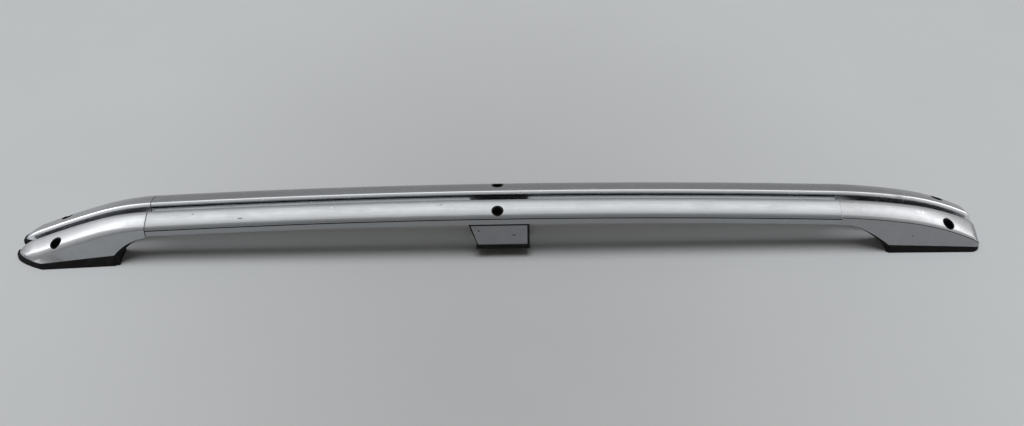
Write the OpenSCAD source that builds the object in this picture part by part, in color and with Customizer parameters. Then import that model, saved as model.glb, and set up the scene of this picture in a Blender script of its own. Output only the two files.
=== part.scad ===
// Pair of roof side rails, standing on their seating pads back to back.
// +Z is up, X runs along the rails with the front feet at -X, and the left rail lies at -Y.
// Along a rail, x is counted from the crown. Across it, s is counted outward from the inner side,
// and d is counted down from the top inner edge.

/* [Rail] */
// Width of the extrusion from its inner side to its outer side
rail_w = 43; // [38:0.5:52]
// Height of the extrusion from the top inner edge to the underside
rail_h = 28.5; // [26:0.5:34]
// Wall of the extrusion
rail_wall = 2.8; // [2.5:0.1:3.6]
// Radius of the lengthwise arch
arch_r = 14000; // [11000:100:20000]
// Height of the top inner edge at the crown above the ground
crown_z = 104.7; // [98:0.5:114]
// Clear space between the inner sides of the two rails
pair_gap = 18; // [12:1:40]
// Rounding of the top inner edge
inner_round = 5.6; // [4:0.1:7]
// Rounding of the top outer edge
outer_round = 8; // [6:0.5:10]
// Sideways slope of the top near its inner edge
top_slope_in = 9; // [5:0.5:11]
// Sideways slope of the top near its outer edge
top_slope_out = 19; // [16:0.5:24]
// Height of the lengthwise groove on the outer side
groove_h = 2.2; // [1.2:0.1:2.6]
// Height of the lengthwise groove on the inner side
inner_groove_h = 2.8; // [1.5:0.1:3.5]
// Depth of both grooves
groove_depth = 1.6; // [0.8:0.1:1.6]
// Rounding of the two bottom edges
bottom_round = 2; // [1:0.1:2.5]

/* [Front foot] */
// Distance from the crown to the front joint
front_joint_x = 637; // [560:1:700]
// Length of the front foot from its joint to the tip of its nose
front_len = 246; // [235:1:270]
// Length of the bend behind the front joint
front_bend_len = 102; // [90:1:112]
// Radius of the bend behind the front joint
front_bend_r = 400; // [380:10:700]
// Radius of the long slope towards the nose
front_slope_r = 1600; // [1200:50:3000]
// Radius of the turn down to the tip of the nose
nose_r = 80; // [70:1:95]
// Length of the turn down to the tip of the nose
nose_len = 29; // [24:1:32]
// Length over which the nose narrows in plan
nose_taper_len = 50; // [40:1:60]
// Distance of the nose's tip from the inner side
nose_tip_s = 10; // [6:0.5:14]
// Width of the front foot at its base where the nose begins
front_base_w = 53; // [47:0.5:58]
// Height of the front foot's base at the heel, above the ground
front_heel_z = 22; // [18:0.5:24]
// Height of the front foot's base at the tip of its nose
front_tip_z = 8.5; // [6:0.5:10]
// Distance from the front joint to the heel of the base
front_heel_len = 63.5; // [60:0.5:68]

/* [Rear foot] */
// Distance from the crown to the rear joint
rear_joint_x = 612; // [540:1:680]
// Length of the rear foot from its joint to its end
rear_len = 260; // [250:1:280]
// Length of the gentle bend behind the rear joint
rear_bend_len = 128; // [120:1:140]
// Radius of the gentle bend behind the rear joint
rear_bend_r = 1100; // [900:50:2000]
// Radius of the steeper bend towards the end
rear_slope_r = 420; // [400:10:600]
// Radius of the turn down to the end face
rear_end_r = 28; // [22:1:34]
// Length of the turn down to the end face
rear_end_len = 15.8; // [10:0.1:15.8]
// Width of the rear foot at its base
rear_base_w = 46.5; // [44:0.5:54]
// Corner rounding of the rear end in plan
rear_corner_r = 9; // [5:0.5:14]
// Height of the rear foot's base at the heel, above the ground
rear_heel_z = 15.5; // [13:0.5:18]
// Height of the rear foot's base at its end
rear_tip_z = 10; // [8:0.5:12]
// Distance from the rear joint to the heel of the base
rear_heel_len = 94; // [88:1:104]
// Radius of the arch under the rear joint
rear_arch_r = 282; // [250:1:400]
// How much deeper the crease lies at the end than at the joint, as a share
crease_fall = 0.32; // [0:0.02:0.4]
// Height of the seam under the crease
seam_h = 1.4; // [0.8:0.1:1.8]
// Depth of the seam under the crease
seam_depth = 1; // [0.5:0.1:1.2]

/* [Middle foot] */
// Length of the middle cover along its top edge
cover_top_len = 102; // [90:1:120]
// Length of the middle cover along its bottom edge
cover_bottom_len = 88; // [76:1:89]
// Distance from the crown to the middle cover's straight end
cover_end_x = 49; // [40:1:56]
// Height of the middle cover's lower edge above the ground
cover_z = 29; // [26:0.5:34]
// Wall of the middle cover
cover_wall = 2.5; // [2:0.1:3]
// Space between the middle cover's top and the extrusion
cover_slot = 1.6; // [1:0.1:3]
// Distance of the middle cover's faces from the sides of the extrusion
cover_inset = 2; // [1:0.1:3]
// How far the middle support stands out past the cover at each end
support_reach = 4; // [2:0.5:6]
// Thickness of the middle pad
middle_pad_t = 7; // [5:0.5:9]

/* [Seating pads] */
// How far the pads stand out past what they carry
pad_lip = 2; // [1:0.1:3]
// How far the front pads stand out past the tips of the noses
nose_lip = 5; // [2:0.5:6]

/* [Fixings] */
// Diameter of the access holes in the top
access_d = 22; // [19:0.5:24]
// Wall of the sleeves in the access holes
sleeve_wall = 1.5; // [1.2:0.1:1.6]
// Distance of the access holes from the inner side
access_s = 30; // [28:0.5:31]
// Distance from the crown to the front access hole
front_access_x = 806; // [798:1:812]
// Distance from the crown to the rear access hole
rear_access_x = 811; // [804:1:816]
// Distance from the crown to the middle access hole, towards the front
middle_access_x = 4; // [0:1:12]
// Diameter of the fixing screw's hole in the bushes
screw_hole_d = 8.5; // [6.5:0.1:9]
// Outer diameter of the bushes
bush_d = 12.5; // [11.5:0.5:13]
// Diameter of the bushes' flanges
flange_d = 16.5; // [15:0.5:16.5]
// Thickness of the bushes' flanges
flange_t = 3; // [2:0.5:4]
// Thickness of the floor that the bushes pass through
floor_t = 6; // [4:0.5:8]
// Length of the feet's tongues inside the extrusion
tongue_len = 58; // [40:1:70]
// Clearance around the tongues
tongue_fit = 0.3; // [0.2:0.05:0.5]
// Diameter of the small self-tapping screws
tapping_d = 4.8; // [4:0.1:5.5]
// Head diameter of the small self-tapping screws
tapping_head_d = 9.5; // [8:0.5:11]
// Head height of the small self-tapping screws
tapping_head_h = 3.2; // [2.5:0.1:4]
// How deep the small screws reach into what they hold
tapping_grip = 10; // [7:0.5:12]
// Radial clearance of the bushes in their holes
bush_fit = 0.15; // [0.05:0.05:0.4]

/* [Mouldings] */
// Wall of the hollow feet
foot_wall = 3.5; // [3:0.1:4.5]
// Thickness of the ribs inside the feet
rib_t = 3; // [2:0.5:4]

/* [Hidden] */
$fn = 64;

silver = [0.70, 0.71, 0.73];
bare_steel = [0.62, 0.63, 0.65];
rubber_black = [0.05, 0.05, 0.055];
plastic_black = [0.09, 0.09, 0.095];

big = 400;
cut = 1;

// Ends of the feet, and the shift that puts the origin midway between the pads' ends
front_end_x = -(front_joint_x + front_len);
rear_end_x = rear_joint_x + rear_len;
mid_shift = -(front_end_x - nose_lip + rear_end_x + pad_lip) / 2;

// Slopes of the top line where one arc passes into the next
front_joint_a = asin(front_joint_x / arch_r);
front_bend_x = -front_joint_x - front_bend_len;
front_bend_a = asin(sin(front_joint_a) + front_bend_len / front_bend_r);
nose_x = front_end_x + nose_len;
nose_a = asin(sin(front_bend_a) + (front_bend_x - nose_x) / front_slope_r);
rear_joint_a = asin(rear_joint_x / arch_r);
rear_bend_x = rear_joint_x + rear_bend_len;
rear_bend_a = asin(sin(rear_joint_a) + rear_bend_len / rear_bend_r);
rear_turn_x = rear_end_x - rear_end_len;
rear_turn_a = asin(sin(rear_bend_a) + (rear_turn_x - rear_bend_x) / rear_slope_r);

// How far an arc of radius r falls over a run, when it starts at slope a
function arc_fall(r, a, run) = r * (cos(a) - cos(asin(min(1, sin(a) + run / r))));

front_joint_z = crown_z - arc_fall(arch_r, 0, front_joint_x);
front_bend_z = front_joint_z - arc_fall(front_bend_r, front_joint_a, front_bend_len);
nose_z = front_bend_z - arc_fall(front_slope_r, front_bend_a, front_bend_x - nose_x);
rear_joint_z = crown_z - arc_fall(arch_r, 0, rear_joint_x);
rear_bend_z = rear_joint_z - arc_fall(rear_bend_r, rear_joint_a, rear_bend_len);
rear_turn_z = rear_bend_z - arc_fall(rear_slope_r, rear_bend_a, rear_turn_x - rear_bend_x);

// Height of the top inner edge at x
function top_z(x) =
    x < nose_x ? nose_z - arc_fall(nose_r, nose_a, nose_x - x)
    : x < front_bend_x ? front_bend_z - arc_fall(front_slope_r, front_bend_a, front_bend_x - x)
    : x < -front_joint_x ? front_joint_z - arc_fall(front_bend_r, front_joint_a, -front_joint_x - x)
    : x <= rear_joint_x ? crown_z - arc_fall(arch_r, 0, abs(x))
    : x <= rear_bend_x ? rear_joint_z - arc_fall(rear_bend_r, rear_joint_a, x - rear_joint_x)
    : x <= rear_turn_x ? rear_bend_z - arc_fall(rear_slope_r, rear_bend_a, x - rear_bend_x)
    : rear_turn_z - arc_fall(rear_end_r, rear_turn_a, x - rear_turn_x);

// Points on an arc about (cs, cd), where a is the slope of the surface at each point
function arc_points(cs, cd, r, a0, a1, n) =
    [for (i = [0 : n]) let (a = a0 + (a1 - a0) * i / n) [cs + r * sin(a), cd - r * cos(a)]];

// Top of a section of width w from its inner side to its shoulder at slope a_end.
// The rounding at the shoulder has radius ro, and inset shrinks the whole line evenly.
function top_outline(w, ri, ro, a_end, inset, n_in, n_top, n_out) =
    let (
        in_s = ri * (1 + sin(top_slope_in)),
        in_d = in_s * tan(top_slope_in),
        in_cd = in_d + ri * cos(top_slope_in),
        out_cs = w - ro * sin(a_end),
        out_s = out_cs + ro * sin(top_slope_out),
        r = (out_s - in_s) / (sin(top_slope_out) - sin(top_slope_in)),
        top_cs = in_s - r * sin(top_slope_in),
        top_cd = in_d + r * cos(top_slope_in),
        out_d = top_cd - r * cos(top_slope_out),
        out_cd = out_d + ro * cos(top_slope_out)
    )
    concat(
        arc_points(ri, in_cd, ri - inset, -90, top_slope_in, n_in),
        [for (i = [1 : n_top - 1])
            let (a = top_slope_in + (top_slope_out - top_slope_in) * i / n_top)
            [top_cs + (r - inset) * sin(a), top_cd - (r - inset) * cos(a)]],
        arc_points(out_cs, out_cd, ro - inset, top_slope_out, a_end, n_out)
    );

// Skin through a row of sections: stations holds [x, [[s, z], ...]] from front to back.
// Each end is closed by triangles around a hub that lies inside its section.
hub_share = 0.42;
function hub(pts) =
    let (ss = [for (p = pts) p[0]], zs = [for (p = pts) p[1]])
    [(min(ss) + max(ss)) / 2, max(zs) - (max(zs) - min(zs)) * hub_share];

module skin(stations) {
    n = len(stations[0][1]);
    m = len(stations);
    hubs = [[stations[0][0], hub(stations[0][1])], [stations[m - 1][0], hub(stations[m - 1][1])]];
    points = concat(
        [for (st = stations) for (p = st[1]) [st[0], -(pair_gap / 2 + p[0]), p[1]]],
        [for (h = hubs) [h[0], -(pair_gap / 2 + h[1][0]), h[1][1]]]
    );
    sides = [
        for (j = [0 : m - 2]) for (i = [0 : n - 1])
            let (k = (i + 1) % n)
            [j * n + i, (j + 1) * n + i, (j + 1) * n + k, j * n + k]
    ];
    first = [for (i = [0 : n - 1]) [m * n, i, (i + 1) % n]];
    last = [for (i = [0 : n - 1]) [m * n + 1, (m - 1) * n + (i + 1) % n, (m - 1) * n + i]];
    polyhedron(points = points, faces = concat(first, sides, last), convexity = 6);
}

// Puts one rail's pieces in place, on the left or on the right
module on_side(side) {
    translate([mid_shift, 0, 0]) {
        if (side == "left") children();
        else mirror([0, 1, 0]) children();
    }
}

// Moves to a spot on the rail at height z
module at(x, s, z) {
    translate([x, -(pair_gap / 2 + s), z]) children();
}

// The extrusion. Its underside is straight over the middle foot and over each tongue.
shoulder_a = 78;
outer_line = top_outline(rail_w, inner_round, outer_round, shoulder_a, 0, 5, 6, 7);
shoulder_d = outer_line[len(outer_line) - 1][1];
inner_groove_d = outer_line[0][1] + 0.4;
groove_draft = 0.3 * groove_depth;

rail_outline = concat(
    [
        [bottom_round, rail_h],
        [0.3 * bottom_round, rail_h - 0.3 * bottom_round],
        [0, rail_h - bottom_round],
        [0, inner_groove_d + inner_groove_h],
        [groove_depth, inner_groove_d + inner_groove_h - groove_draft],
        [groove_depth, inner_groove_d + groove_draft],
        [0, inner_groove_d]
    ],
    outer_line,
    [
        [rail_w - groove_depth, shoulder_d + groove_draft],
        [rail_w - groove_depth, shoulder_d + groove_h - groove_draft],
        [rail_w, shoulder_d + groove_h],
        [rail_w, rail_h - bottom_round],
        [rail_w - 0.3 * bottom_round, rail_h - 0.3 * bottom_round],
        [rail_w - bottom_round, rail_h]
    ]
);

function hollow_outline(inset) = concat(
    [[inset, rail_h - inset]],
    top_outline(rail_w, inner_round, outer_round, 90, inset, 3, 4, 5),
    [[rail_w - inset, rail_h - inset]]
);

end_run = tongue_len + 3;
mid_run = 64;
run_steps = 8;
front_run_x = -front_joint_x + end_run;
rear_run_x = rear_joint_x - end_run;
rail_xs = concat(
    [-front_joint_x],
    [for (i = [0 : run_steps]) front_run_x + (-mid_run - front_run_x) * i / run_steps],
    [for (i = [0 : run_steps]) mid_run + (rear_run_x - mid_run) * i / run_steps],
    [rear_joint_x]
);

// Slopes of the two straight ends, falling away from the crown
front_run_a = atan((top_z(front_run_x) - top_z(-front_joint_x)) / end_run);
rear_run_a = atan((top_z(rear_run_x) - top_z(rear_joint_x)) / end_run);

// Height of the straight end's top at a distance from the joint
function run_z(side, t) =
    side < 0 ? top_z(-front_joint_x) + t * tan(front_run_a) : top_z(rear_joint_x) + t * tan(rear_run_a);

function outline_at(outline, x, z) = [x, [for (p = outline) [p[0], z - p[1]]]];

module rail() {
    floor_z = top_z(mid_run) - rail_h + rail_wall;
    inner = hollow_outline(rail_wall);
    color(silver)
    difference() {
        skin([for (x = rail_xs) outline_at(rail_outline, x, top_z(x))]);
        skin(concat(
            [outline_at(inner, -front_joint_x - cut, run_z(-1, -cut))],
            [for (i = [1 : len(rail_xs) - 2]) outline_at(inner, rail_xs[i], top_z(rail_xs[i]))],
            [outline_at(inner, rear_joint_x + cut, run_z(1, -cut))]
        ));
        at(-middle_access_x, access_s, top_z(0) - access_depth) cylinder(d = access_d, h = big);
        at(-middle_access_x, access_s, 0) cylinder(d = bush_d + 2 * bush_fit, h = floor_z + cut);
        for (p = support_screw_spots) at(p[0], p[1], 0) cylinder(d = tapping_d, h = floor_z + cut);
        for (side = [-1, 1]) for (i = [0, 1]) joint_screw_place(side, i)
        translate([0, 0, -cut]) cylinder(d = tapping_d, h = rail_wall + 2 * cut);
    }
}

// Depth of the middle access hole below the top inner edge
access_depth = 16;

// Spots of the screws that hold a tongue: the head's seat, with +Z along the screw
joint_screw_spacing = 26;
joint_screw_inset = 14;
module joint_screw_place(side, i) {
    t = joint_screw_inset + i * joint_screw_spacing;
    x = side < 0 ? t - front_joint_x : rear_joint_x - t;
    at(x, rail_w / 2, run_z(side, t) - rail_h)
    rotate([0, side < 0 ? -front_run_a : rear_run_a, 0]) children();
}

// Underside of the rail at x
function under_z(x) = top_z(x) - rail_h;

// Front foot
front_heel_x = -front_joint_x - front_heel_len;
front_arch_cx = -front_joint_x + 18;
front_arch_dx = front_arch_cx - front_heel_x;
front_arch_dz = under_z(-front_joint_x) - front_heel_z;
front_arch_r = (pow(front_arch_dx, 2) + pow(front_arch_dz, 2)) / (2 * front_arch_dz);
front_arch_cz = under_z(-front_joint_x) - front_arch_r;
front_arch_a = asin(front_arch_dx / front_arch_r);
front_arch_turn = front_arch_a - asin((front_arch_cx + front_joint_x) / front_arch_r);
front_base_a = atan((front_heel_z - front_tip_z) / (front_heel_x - front_end_x));

function front_base_z(x) = front_tip_z + (x - front_end_x) * tan(front_base_a);
function front_bottom_z(x) =
    x <= front_heel_x ? front_base_z(x)
    : min(
        under_z(x),
        max(
            front_base_z(x),
            front_arch_cz + sqrt(max(0, pow(front_arch_r, 2) - pow(x - front_arch_cx, 2)))
        )
    );

// Share of the way along the nose's taper, from 0 where it begins to 1 at the tip
nose_taper_x = front_end_x + nose_taper_len;
function nose_share(x) = max(0, min(1, (nose_taper_x - x) / nose_taper_len));

nose_power = 0.55;
nose_tip_half = 3;
function front_outer_s(x) =
    let (
        u = nose_share(x),
        run = max(0, min(1, (-front_joint_x - x) / (front_joint_x + nose_taper_x) * -1)),
        w = rail_w + (front_base_w - rail_w) * pow(run, 1.2)
    )
    nose_tip_s + nose_tip_half + (w - nose_tip_s - nose_tip_half) * pow(1 - u, nose_power);
function front_inner_s(x) =
    let (v = max(0, min(1, (front_end_x + nose_tip_s * 2.4 - x) / (nose_tip_s * 2.4))))
    (nose_tip_s - nose_tip_half) * (1 - pow(1 - v, nose_power));

// Softness of the front foot's shoulder grows from the joint towards the nose
soft_round = 15;
function front_round(x) =
    let (run = max(0, min(1, (-front_joint_x - x) / 90)))
    outer_round + (soft_round - outer_round) * run;

// A foot's section at x between its inner and outer sides, flattened where it gets too low for its top.
// The side below the shoulder leans out to the width of the base.
// A section that is inset ends at z1 instead of z0.
side_lip = 1.5;
function foot_section(x, s0, s1, z0, ro, a_end, lean, stretch, inset, z1) =
    let (
        top = max(top_z(x), z0 + 1.2),
        w = s1 - s0 - lean,
        narrow = min(1, w / rail_w),
        line = top_outline(w, inner_round * narrow, ro * narrow, a_end, 0, 4, 5, 8),
        lined = top_outline(w, inner_round * narrow, ro * narrow, a_end, inset, 4, 5, 8),
        drop = line[len(line) - 1][1] * stretch,
        flat = stretch * min(1, (top - z0 - min(side_lip, 0.5 * (top - z0))) / drop)
    )
    concat(
        [[s0 + inset, z1]],
        [for (p = lined) [s0 + p[0], top - p[1] * flat]],
        [[s1 - inset, z1]]
    );

front_shoulder_a = 80;
function front_section(x, inset, z1) =
    let (s0 = front_inner_s(x), s1 = front_outer_s(x), lean = max(0, s1 - s0 - rail_w) * 0.8)
    foot_section(
        x, s0, s1, front_bottom_z(x), front_round(x), front_shoulder_a, lean,
        1 / cos(slope_at(x)), inset, z1
    );

// Slope of the top line at x, limited where it turns down to the ends
function slope_at(x) = min(24, abs(atan((top_z(x + 1) - top_z(x - 1)) / 2)));

joint_chamfer = 0.5;
arch_steps = 8;
body_steps = 6;
nose_steps = 14;
front_xs = concat(
    [for (i = [0 : nose_steps - 1]) front_end_x + 0.4 + (nose_taper_len - 0.4) * pow(i / nose_steps, 1.8)],
    [for (i = [0 : body_steps - 1]) nose_taper_x + (front_heel_x - nose_taper_x) * i / body_steps],
    [for (i = [0 : arch_steps - 1])
        front_arch_cx - front_arch_r * sin(front_arch_a - front_arch_turn * i / arch_steps)],
    [-front_joint_x - joint_chamfer]
);

module front_foot() {
    floor_z = front_base_z(-front_access_x) + floor_t;
    color(silver)
    union() {
        difference() {
            front_skin();
            for (p = front_pockets) front_pocket(p[0], p[1]);
            at(-front_access_x, access_s, floor_z) cylinder(d = access_d, h = big);
            at(-front_access_x, access_s, 0) cylinder(d = bush_d + 2 * bush_fit, h = big);
        }
        tongue(-1);
    }
}

// Outer skin of the front foot
module front_skin() {
    skin(concat(
        [for (x = front_xs) [x, front_section(x, 0, front_bottom_z(x))]],
        [let (x = -front_joint_x) [x, front_section(x, joint_chamfer, front_bottom_z(x) + joint_chamfer)]]
    ));
}

// Pockets between the ribs, each from the first x to the second, with an even wall all round.
// Past the heel a pocket's floor keeps a wall over the arch.
boss_d = 29;
front_boss = [-front_access_x - boss_d / 2, -front_access_x + boss_d / 2];
front_rib_x = (front_boss[1] + front_heel_x - foot_wall) / 2;
front_pockets = [
    [front_boss[0] - 28, front_boss[0]],
    [front_boss[1], front_rib_x - rib_t / 2],
    [front_rib_x + rib_t / 2, front_heel_x - foot_wall],
    [front_heel_x + 1, -front_joint_x - 14]
];

module front_pocket(x0, x1) {
    xs = [for (i = [0 : 4]) x0 + (x1 - x0) * i / 4];
    skin([for (x = xs)
        let (low = x <= front_heel_x ? 0 : front_bottom_z(x) + foot_wall)
        [x, front_section(x, foot_wall, low)]]);
}

// Tongue that reaches from a foot into the extrusion, front for side -1 and rear for side 1
tongue_root = 8;
module tongue(side) {
    line = hollow_outline(rail_wall + tongue_fit);
    x0 = side < 0 ? -front_joint_x : rear_joint_x;
    root = outline_at(line, x0 + side * tongue_root, run_z(side, -tongue_root) - 0.5);
    tip = outline_at(line, x0 - side * tongue_len, run_z(side, tongue_len));
    difference() {
        skin(side < 0 ? [root, outline_at(line, x0, run_z(side, 0)), tip]
            : [tip, outline_at(line, x0, run_z(side, 0)), root]);
        for (i = [0, 1]) joint_screw_place(side, i) cylinder(d = tapping_d, h = tapping_grip + rail_wall);
    }
}

// Rear foot
rear_heel_x = rear_joint_x + rear_heel_len;
rear_arch_cx = rear_joint_x - 94.6;
rear_arch_cz = rear_heel_z - sqrt(pow(rear_arch_r, 2) - pow(rear_heel_x - rear_arch_cx, 2));
rear_base_a = atan((rear_heel_z - rear_tip_z) / (rear_end_x - rear_heel_x));

function rear_base_z(x) = rear_tip_z + (rear_end_x - x) * tan(rear_base_a);
function rear_bottom_z(x) =
    x >= rear_heel_x ? rear_base_z(x)
    : min(under_z(x), rear_arch_cz + sqrt(pow(rear_arch_r, 2) - pow(x - rear_arch_cx, 2)));

function corner_cut(x) =
    let (t = max(0, x - (rear_end_x - rear_corner_r)))
    rear_corner_r - sqrt(max(0, pow(rear_corner_r, 2) - t * t));
function rear_share(x) = max(0, (x - rear_joint_x) / rear_len);
function rear_outer_s(x) = rail_w + (rear_base_w - rail_w) * rear_share(x);
rear_round = 14;
crease_a = 44;
function rear_section(x, inset, z1) =
    let (
        u = rear_share(x),
        cc = corner_cut(x),
        lean = (rear_base_w - rail_w) * u
    )
    foot_section(
        x, 0.5 * cc, rail_w + lean - cc, rear_bottom_z(x),
        rear_round, crease_a, lean, 1 + crease_fall * u, inset, z1
    );

// Section of the rear foot's outer skin, with the seam cut in under the crease
function rear_skin_section(x, inset, z1) =
    let (
        pts = rear_section(x, inset, z1),
        n = len(pts),
        crease = pts[n - 2],
        low = pts[n - 1],
        h = min(seam_h, 0.6 * (crease[1] - low[1])),
        share = h / (crease[1] - low[1])
    )
    concat(
        [for (i = [0 : n - 2]) pts[i]],
        [
            [crease[0] - seam_depth * h / seam_h, crease[1] - 0.4 * h],
            [crease[0] + (low[0] - crease[0]) * share, crease[1] - h],
            low
        ]
    );

rear_xs = concat(
    [rear_joint_x + joint_chamfer],
    [for (i = [1 : arch_steps]) rear_joint_x + rear_heel_len * sin(90 * i / arch_steps)],
    [for (i = [1 : body_steps]) rear_heel_x + (rear_turn_x - rear_heel_x) * i / body_steps],
    [for (i = [1 : 6]) rear_turn_x + (rear_end_len - 0.02) * sin(15 * i)]
);

module rear_foot() {
    floor_z = rear_base_z(rear_access_x) + floor_t;
    color(silver)
    union() {
        difference() {
            rear_skin();
            for (p = rear_pockets) rear_pocket(p[0], p[1]);
            at(rear_access_x, access_s, floor_z) cylinder(d = access_d, h = big);
            at(rear_access_x, access_s, 0) cylinder(d = bush_d + 2 * bush_fit, h = big);
        }
        tongue(1);
    }
}

// Outer skin of the rear foot
module rear_skin() {
    skin(concat(
        [let (x = rear_joint_x) [x, rear_skin_section(x, joint_chamfer, under_z(x) + joint_chamfer)]],
        [for (x = rear_xs) [x, rear_skin_section(x, 0, rear_bottom_z(x))]]
    ));
}

rear_boss = [rear_access_x - boss_d / 2, rear_access_x + boss_d / 2];
rear_rib_x = (rear_boss[0] + rear_heel_x + foot_wall) / 2;
rear_pockets = [
    [rear_joint_x + 24, rear_heel_x - 3],
    [rear_heel_x + foot_wall, rear_rib_x - rib_t / 2],
    [rear_rib_x + rib_t / 2, rear_boss[0]],
    [rear_boss[1], rear_turn_x]
];

module rear_pocket(x0, x1) {
    xs = [for (i = [0 : 4]) x0 + (x1 - x0) * i / 4];
    skin([for (x = xs)
        let (low = x >= rear_heel_x ? 0 : rear_bottom_z(x) + foot_wall)
        [x, rear_section(x, foot_wall, low)]]);
}

// Seating pads of the end feet: flat on the ground, with their tops against the feet
pad_edge = 1.2;
function pad_section(s0, s1, z) = [
    [s0 - pad_lip - 0.4, 0],
    [s0 - pad_lip, z - pad_edge],
    [s0 - pad_lip + pad_edge, z],
    [s1 + pad_lip - pad_edge, z],
    [s1 + pad_lip, z - pad_edge],
    [s1 + pad_lip + 0.4, 0]
];

// The pad's outline round the nose is the nose's own, stretched forward by the lip
nose_share_of_pad = nose_taper_len / (nose_taper_len + nose_lip);

module front_pad() {
    xs = concat(
        [for (i = [0 : 10]) nose_taper_x - (nose_taper_len + nose_lip) * (1 - pow(i / 10, 1.8))],
        [front_heel_x]
    );
    color(rubber_black)
    difference() {
        skin([for (x = xs)
            let (t = max(x, nose_taper_x - (nose_taper_x - x) * nose_share_of_pad))
            [x, pad_section(front_inner_s(t), front_outer_s(t), front_base_z(x))]]);
        at(-front_access_x, access_s, -cut) cylinder(d = bush_d + 2 * bush_fit, h = big);
    }
}

module rear_pad() {
    pad_r = 18;
    xs = concat(
        [rear_heel_x],
        [for (i = [0 : 8]) rear_end_x + pad_lip - pad_r * (1 - sin(90 * i / 8) * 0.999)]
    );
    color(rubber_black)
    difference() {
        skin([for (x = xs)
            let (
                t = max(0, x - (rear_end_x + pad_lip - pad_r)),
                c = pad_r - sqrt(max(0, pad_r * pad_r - t * t))
            )
            [x, pad_section(0.3 * c, rear_outer_s(x) - c, rear_base_z(x))]]);
        at(rear_access_x, access_s, -cut) cylinder(d = bush_d + 2 * bush_fit, h = big);
    }
}

// Middle foot: a plain cover around a ribbed support that reaches up to the extrusion
cover_start_x = cover_end_x - cover_top_len;
cover_low_x = cover_end_x - cover_bottom_len;
cover_floor = 2.5;
cover_w = rail_w - 2 * cover_inset;
support_z = cover_z + cover_floor;
support_top_z = top_z(mid_run) - rail_h;
support_gap = 0.3;
support_wall = 3;
support_plate = 5;
support_head_z = support_top_z - 18;
support_screw_spots = [for (x = [-32, 36]) [x, rail_w / 2, support_head_z]];
head_room = 0.6;
head_hole_d = tapping_head_d + 2 * head_room;

// Block between the inner side's distance s0 and s0 + w, with its outline given as [x, z] points
module side_block(s0, w, outline) {
    translate([0, -(pair_gap / 2 + s0), 0])
    rotate([90, 0, 0]) linear_extrude(height = w) polygon(outline);
}

module middle_cover() {
    top = support_top_z - cover_slot;
    color(silver)
    difference() {
        side_block(cover_inset, cover_w, [
            [cover_end_x, cover_z],
            [cover_end_x, top],
            [cover_start_x, top],
            [cover_low_x - 4, cover_z + 10],
            [cover_low_x - 2, cover_z + 3.5],
            [cover_low_x + 0.5, cover_z + 1],
            [cover_low_x + 3, cover_z]
        ]);
        side_block(cover_inset + cover_wall, cover_w - 2 * cover_wall, [
            [-big, support_z],
            [big, support_z],
            [big, big],
            [-big, big]
        ]);
        at(-middle_access_x, access_s, 0) cylinder(d = bush_d + 2 * bush_fit, h = big);
        for (p = support_screw_spots) at(p[0], p[1], 0) cylinder(d = head_hole_d, h = big);
    }
}

module middle_support() {
    s0 = cover_inset + cover_wall + support_gap;
    w = rail_w - 2 * s0;
    x0 = cover_start_x - support_reach;
    x1 = cover_end_x + support_reach;
    low_x = cover_low_x - support_reach;
    outline = [
        [x1, support_z],
        [x1, support_top_z],
        [x0, support_top_z],
        [x0 + 2, support_top_z - 8],
        [low_x, support_z]
    ];
    color(plastic_black)
    difference() {
        side_block(s0, w, outline);
        difference() {
            side_block(s0 + support_wall, w - 2 * support_wall, [
                [x1 - support_wall, 0],
                [x1 - support_wall, support_top_z - support_plate],
                [x0 + support_wall + 4, support_top_z - support_plate],
                [low_x + support_wall, 0]
            ]);
            at(-middle_access_x, access_s, 0) cylinder(d = bush_d + 2 * support_wall, h = big);
            for (p = support_screw_spots) at(p[0], p[1], 0)
            cylinder(d = head_hole_d + 2 * support_wall, h = big);
            side_block(rail_w / 2 - rib_t / 2, rib_t, [[-big, 0], [big, 0], [big, big], [-big, big]]);
        }
        at(-middle_access_x, access_s, 0) cylinder(d = bush_d + 2 * bush_fit, h = big);
        for (p = support_screw_spots) {
            at(p[0], p[1], 0) cylinder(d = tapping_d, h = big);
            at(p[0], p[1], 0) cylinder(d = head_hole_d, h = p[2]);
        }
    }
}

module middle_pad() {
    x0 = cover_low_x - support_reach;
    x1 = cover_end_x + support_reach;
    low = cover_z - middle_pad_t;
    color(rubber_black)
    difference() {
        side_block(cover_inset - pad_lip, cover_w + 2 * pad_lip, [
            [x0 - 0.5, low],
            [x1 + 0.5, low],
            [x1, cover_z - 1.5],
            [x1 - 1.5, cover_z],
            [x0 + 1.5, cover_z],
            [x0, cover_z - 1.5]
        ]);
        at(-middle_access_x, access_s, 0) cylinder(d = bush_d + 2 * bush_fit, h = big);
        for (p = support_screw_spots) at(p[0], p[1], 0) cylinder(d = head_hole_d, h = big);
    }
}

// Sleeves in the access holes, from the floor up to just under the surface of the top
sleeve_play = 0.1;
sleeve_sink = 0.8;
sleeve_d = access_d - 2 * sleeve_play;

// Width that the middle sleeve has inside the extrusion, clear of its outer wall
inner_sleeve_d = min(sleeve_d, 2 * (rail_w - rail_wall - access_s - sleeve_play));

// Places along a foot around the hole at x, for the short skin that a sleeve ends under
function around(x) = [for (i = [-2 : 2]) x + 0.3 * access_d * i];

module front_sleeve() {
    floor_z = front_base_z(-front_access_x) + floor_t;
    color(plastic_black)
    difference() {
        intersection() {
            at(-front_access_x, access_s, floor_z) cylinder(d = sleeve_d, h = big);
            translate([0, 0, -sleeve_sink])
            skin([for (x = around(-front_access_x)) [x, front_section(x, 0, front_bottom_z(x))]]);
        }
        at(-front_access_x, access_s, 0) cylinder(d = sleeve_d - 2 * sleeve_wall, h = big);
    }
}

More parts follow.
